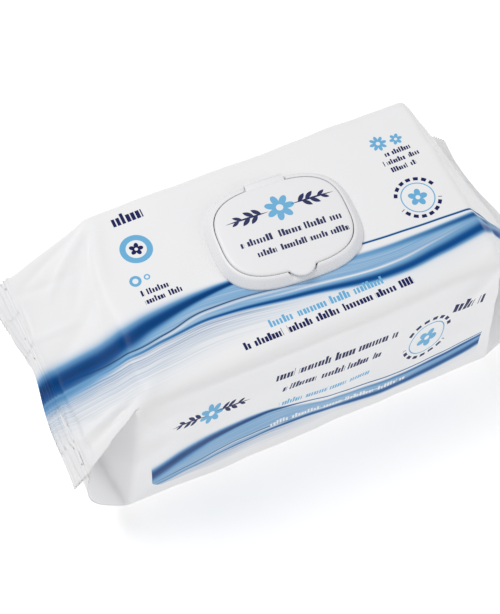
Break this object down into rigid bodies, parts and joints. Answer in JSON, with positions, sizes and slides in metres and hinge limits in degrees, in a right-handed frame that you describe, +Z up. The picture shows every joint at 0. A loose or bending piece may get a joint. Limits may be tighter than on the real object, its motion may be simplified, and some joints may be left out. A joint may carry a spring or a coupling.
{
  "type": "wet wipes pack",
  "caption": "Gusset-ended film pack of moist wipes with a framed flip-top dispensing lid on its top face.",
  "frame": {"origin": "middle of the flat underside of the pack", "axes": "+Z up, +X along the pack, -Y towards the printed front panel"},
  "size_m": [0.2622, 0.108, 0.1169],
  "materials": {
    "film": "satin white laminate film with a flowing blue stripe band",
    "frame_plastic": "satin white polypropylene moulding",
    "lid_plastic": "smooth white polypropylene moulding",
    "label_film": "pale blue label film with a pull tab"
  },
  "bodies": {
    "pack": {"film_pack": "film", "lid_base": "frame_plastic", "peel_label": "label_film"},
    "lid": {"flip_lid": "lid_plastic"}
  },
  "joints": [
    {"name": "lid_hinge", "type": "hinge", "parent": "pack", "child": "lid", "pos_m": [0.00895, 0.03283, 0.1153], "axis": [-0.9976, 0.0698, 0], "range_deg": [0, 140]}
  ]
}
